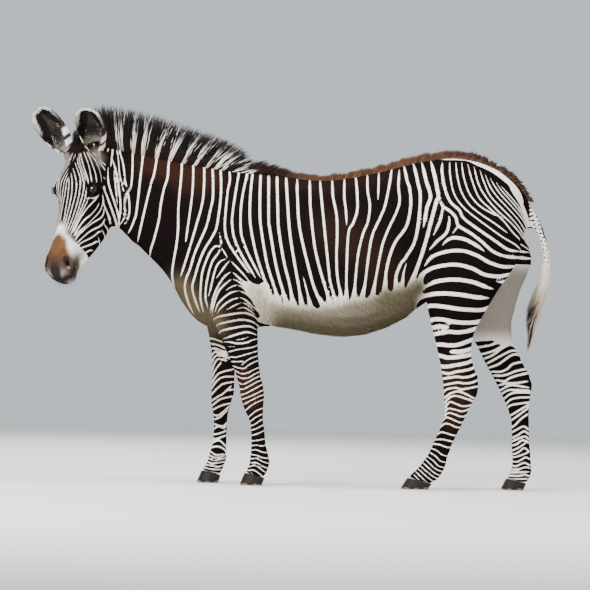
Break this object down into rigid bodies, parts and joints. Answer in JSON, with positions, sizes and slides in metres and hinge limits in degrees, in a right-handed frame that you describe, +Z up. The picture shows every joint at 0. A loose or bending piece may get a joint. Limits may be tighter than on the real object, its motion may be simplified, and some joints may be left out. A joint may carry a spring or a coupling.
{
  "type": "grevy's zebra",
  "caption": "Life-size still model of an adult zebra with narrow close stripes, standing on level hooves with its head turned to its left, for display or as a scene animal.",
  "frame": {"origin": "on the floor under the middle of the animal's bounding box", "axes": "+Z up; the animal faces -X, along its length; its left side looks towards -Y"},
  "size_m": [2.4242, 0.6592, 1.74],
  "materials": {
    "coat": "short dense fur in near-black and warm white stripes, matt with a faint sheen along the lie of the hair",
    "mane_hair": "upright coarse hair, striped in the mane, ginger brown along the back, black and grey in the tail switch",
    "eye": "wet dark brown eye with a clear glossy surface",
    "hoof": "dark grey-brown horn, finely ringed, paler and worn at the lower edge"
  },
  "bodies": {
    "root": {"forearm_fore_left": "coat", "cannon_fore_left": "coat", "pastern_fore_left": "coat", "hoof_fore_left": "hoof", "forearm_fore_right": "coat", "cannon_fore_right": "coat", "pastern_fore_right": "coat", "hoof_fore_right": "hoof", "thigh_hind_left": "coat", "cannon_hind_left": "coat", "pastern_hind_left": "coat", "hoof_hind_left": "hoof", "thigh_hind_right": "coat", "cannon_hind_right": "coat", "pastern_hind_right": "coat", "hoof_hind_right": "hoof", "tail_dock": "coat", "tail_tuft": "mane_hair", "ear_left": "coat", "eye_left": "eye", "ear_right": "coat", "eye_right": "eye", "head": "coat", "neck": "coat", "trunk": "coat", "mane": "mane_hair", "back_crest": "mane_hair"}
  },
  "joints": []
}
